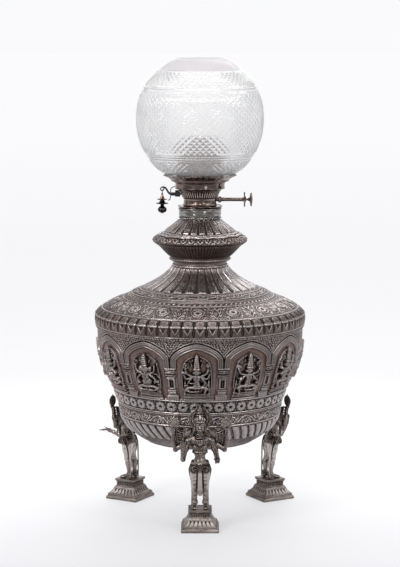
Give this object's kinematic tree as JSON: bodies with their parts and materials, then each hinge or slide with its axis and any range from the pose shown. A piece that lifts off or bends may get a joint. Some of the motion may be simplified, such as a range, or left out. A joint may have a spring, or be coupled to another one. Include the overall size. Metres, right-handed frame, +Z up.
{
  "type": "oil lamp",
  "caption": "Embossed metal oil table lamp on three cast figure feet, with a twin flat-wick burner, wick winders, extinguisher lever and cut glass globe.",
  "frame": {"origin": "on the floor, under the lamp's vertical axis", "axes": "+Z up the lamp's axis, -Y towards the front figure, +X towards the wick winder knobs"},
  "size_m": [0.3458, 0.3517, 0.7426],
  "materials": {
    "embossed": "embossed copper sheet, silvered, darkened in the recesses",
    "cast": "cast copper alloy, dark patina, polished highlights",
    "burner": "brown patinated brass",
    "steel": "dark steel",
    "collar": "polished, slightly greenish",
    "tin": "tinned sheet",
    "glass": "cut, partly frosted",
    "wick": "woven cotton"
  },
  "bodies": {
    "stand": {"lower_bowl": "embossed", "shoulder_cover": "embossed", "neck_bead_ring": "embossed", "neck_cup": "embossed", "knop_rim": "embossed", "neck_bell": "embossed", "oil_font": "tin", "font_bracket_ring": "tin", "burner_collar": "collar", "plinth_front": "cast", "figure_front": "cast", "stud_front": "steel", "stud_nut_front": "steel", "plinth_left": "cast", "figure_left": "cast", "stud_left": "steel", "stud_nut_left": "steel", "plinth_right": "cast", "figure_right": "cast", "stud_right": "steel", "stud_nut_right": "steel"},
    "burner": {"burner_base_plate": "burner", "burner_cup": "burner", "air_basket": "burner", "burner_drum": "burner", "globe_gallery": "burner", "flame_deflector": "burner", "wick_tube_front": "burner", "wick_tube_back": "burner", "winder_bush": "burner", "lever_bracket": "steel", "lever_pin": "steel", "stop_wire": "steel"},
    "wick_front_body": {"wick_front": "wick"},
    "wick_back_body": {"wick_back": "wick"},
    "outer_winder": {"winder_sleeve": "burner", "winder_disc": "burner"},
    "inner_winder": {"winder_spindle": "burner", "winder_knob": "burner"},
    "lever": {"extinguisher_lever": "steel"},
    "pull": {"pull_finial": "steel"},
    "hood": {"extinguisher_hood": "burner"},
    "globe_body": {"globe": "glass"}
  },
  "joints": [
    {"name": "burner_turn", "type": "hinge", "parent": "stand", "child": "burner", "pos_m": [0, 0, 0.5], "axis": [0, 0, 1], "range_deg": [0, 30]},
    {"name": "outer_winder_turn", "type": "hinge", "parent": "burner", "child": "outer_winder", "pos_m": [0.05, 0, 0.5136], "axis": [1, 0, 0], "range_deg": [-150, 60]},
    {"name": "inner_winder_turn", "type": "hinge", "parent": "burner", "child": "inner_winder", "pos_m": [0.05, 0, 0.5136], "axis": [1, 0, 0], "range_deg": [-150, 60]},
    {"name": "front_wick_feed", "type": "slide", "parent": "burner", "child": "wick_front_body", "axis": [0, 0, 1], "range_m": [-0.0166, 0.0066]},
    {"name": "back_wick_feed", "type": "slide", "parent": "burner", "child": "wick_back_body", "axis": [0, 0, 1], "range_m": [-0.0166, 0.0066]},
    {"name": "extinguisher_pull_down", "type": "hinge", "parent": "burner", "child": "lever", "pos_m": [-0.0365, 0, 0.5225], "axis": [0, -1, 0], "range_deg": [0, 14]},
    {"name": "hood_lift", "type": "slide", "parent": "burner", "child": "hood", "axis": [0, 0, 1], "range_m": [0, 0.0165]},
    {"name": "finial_swing", "type": "hinge", "parent": "lever", "child": "pull", "pos_m": [-0.0615, 0, 0.5281], "axis": [0, 1, 0], "range_deg": [-5, 20]},
    {"name": "globe_lift", "type": "slide", "parent": "burner", "child": "globe_body", "axis": [0, 0, 1], "range_m": [0, 0.12]}
  ],
  "couplings": [
    {"joint": "front_wick_feed", "follows": "outer_winder_turn", "m_per_rad": 0.006},
    {"joint": "back_wick_feed", "follows": "inner_winder_turn", "m_per_rad": 0.006},
    {"joint": "hood_lift", "follows": "extinguisher_pull_down", "m_per_rad": 0.066}
  ]
}
